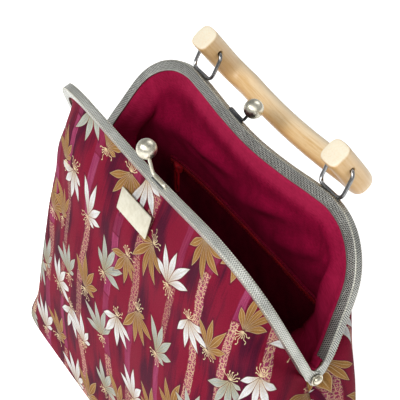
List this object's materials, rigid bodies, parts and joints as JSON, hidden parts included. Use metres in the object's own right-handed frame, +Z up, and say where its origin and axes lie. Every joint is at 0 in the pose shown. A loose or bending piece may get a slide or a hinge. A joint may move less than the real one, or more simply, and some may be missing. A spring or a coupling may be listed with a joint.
{
  "type": "clasp handbag",
  "caption": "Cloth handbag standing open on a hinged metal purse frame with a kiss-lock ball clasp, a lining with a zip pocket, and a wooden handle that swings on two wire rings.",
  "frame": {"origin": "the middle of the base, on the surface that the bag stands on, under the middle of the hinge line", "axes": "+Z up, +X along the hinge line, -Y out of the front that carries the plate"},
  "size_m": [0.296, 0.1379, 0.2512],
  "materials": {
    "printed_cloth": "printed cotton",
    "lining_cloth": "plain cotton",
    "pewter_frame": "antique pewter",
    "pale_brass": "brushed pale brass",
    "beech_wood": "clear varnish",
    "pull_paint": "dark red enamel"
  },
  "bodies": {
    "bag": {"front_panel": "printed_cloth", "back_panel": "printed_cloth", "base_panel": "printed_cloth", "front_lining": "lining_cloth", "back_lining": "lining_cloth", "base_lining": "lining_cloth", "frame_front": "pewter_frame", "frame_back": "pewter_frame", "hinge_rivet_left": "pale_brass", "hinge_rivet_right": "pale_brass", "clasp_front": "pale_brass", "clasp_back": "pale_brass", "label_plate": "pale_brass", "zip_tape": "lining_cloth", "zip_pull": "pull_paint"},
    "handle": {"handle": "beech_wood"}
  },
  "joints": [
    {"name": "handle_swing", "type": "hinge", "parent": "bag", "child": "handle", "pos_m": [0, 0.0552, 0.237], "axis": [1, 0, 0], "range_deg": [-25, 235]}
  ]
}
